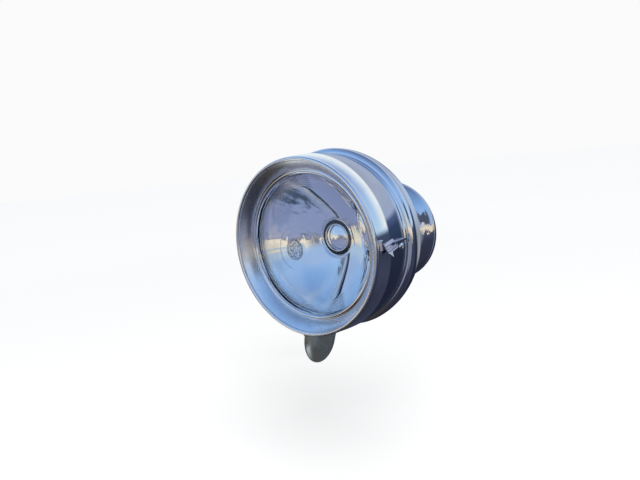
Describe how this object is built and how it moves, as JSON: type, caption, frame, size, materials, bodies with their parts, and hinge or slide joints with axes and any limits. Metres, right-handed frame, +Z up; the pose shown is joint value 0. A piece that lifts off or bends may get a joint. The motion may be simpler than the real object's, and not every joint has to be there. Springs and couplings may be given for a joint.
{
  "type": "vehicle spot lamp with rear-view mirror",
  "caption": "Chrome spot lamp with a round mirror on its back, on a tube through a vehicle's windscreen pillar, turned by a grip inside.",
  "frame": {"origin": "middle of the pad's face that lies on the outside of the windscreen pillar, where the tube's axis crosses it", "axes": "+X out from the pillar away from the vehicle, +Z up, and the lamp's beam points along -Y, the vehicle's front, at rest"},
  "size_m": [0.3552, 0.2858, 0.2287],
  "materials": {
    "chrome": "polished, lightly pitted",
    "satin_case": "satin, weathered",
    "clear_glass": "clear, moulded rings",
    "reflector_silver": "silvered",
    "mirror_silver": "silvered flat",
    "gasket_rubber": "matt",
    "bulb_glass": "clear",
    "brass_holder": "plain",
    "steel_tube": "plated, satin",
    "zinc_hardware": "plated",
    "grip_plastic": "moulded, polished",
    "button_plastic": "moulded",
    "liner_plastic": "moulded"
  },
  "bodies": {
    "pillar_mount": {"pillar_pad": "gasket_rubber", "bracket": "chrome", "mount_screw_upper": "chrome", "mount_screw_lower": "chrome", "pillar_sleeve": "zinc_hardware", "wedge_washer": "zinc_hardware", "lock_nut": "zinc_hardware"},
    "arm": {"arm_tube": "steel_tube", "elbow_case": "satin_case", "swivel_nut": "zinc_hardware", "stop_collar": "zinc_hardware", "handle_case": "chrome"},
    "handle": {"grip_ferrule": "chrome", "grip": "grip_plastic"},
    "button": {"switch_button": "button_plastic"},
    "head": {"swivel_collar": "satin_case", "rear_shell": "chrome", "bezel": "chrome", "lens_gasket": "gasket_rubber", "lens": "clear_glass", "reflector": "reflector_silver", "reflector_retainer": "zinc_hardware", "bulb_holder": "brass_holder", "bulb": "bulb_glass", "bulb_shield": "reflector_silver", "clip_pin": "chrome", "bezel_clip": "chrome", "clip_screw": "zinc_hardware", "mirror_post": "chrome"},
    "mirror_liner": {"ball_liner": "liner_plastic"},
    "mirror": {"mirror_shell": "chrome", "mirror_glass": "mirror_silver", "mirror_rim": "chrome"}
  },
  "joints": [
    {"name": "arm_turn", "type": "hinge", "parent": "pillar_mount", "child": "arm", "pos_m": [0, 0, 0], "axis": [-0.8236, 0.5, 0.2676], "range_deg": [-45, 45]},
    {"name": "head_swivel", "type": "hinge", "parent": "arm", "child": "head", "pos_m": [0.05683, -0.0345, -0.01847], "axis": [0.309, 0, 0.9511], "range_deg": [-90, 90]},
    {"name": "grip_twist", "type": "hinge", "parent": "arm", "child": "handle", "pos_m": [-0.15649, 0.095, 0.05085], "axis": [-0.1656, -0.6634, 0.7297], "range_deg": [-90, 90]},
    {"name": "switch_press", "type": "slide", "parent": "handle", "child": "button", "axis": [-0.1656, -0.6634, 0.7297], "range_m": [0, 0.0025], "stiffness_N_per_m": 300, "springref_m": -0.002},
    {"name": "mirror_pan", "type": "hinge", "parent": "head", "child": "mirror_liner", "pos_m": [0.09237, 0.0425, 0.08091], "axis": [0, 0, 1], "range_deg": [-15, 15]},
    {"name": "mirror_tilt", "type": "hinge", "parent": "mirror_liner", "child": "mirror", "pos_m": [0.09237, 0.0425, 0.08091], "axis": [1, 0, 0], "range_deg": [-15, 15]}
  ],
  "couplings": [
    {"joint": "grip_twist", "follows": "head_swivel", "ratio": 1}
  ]
}
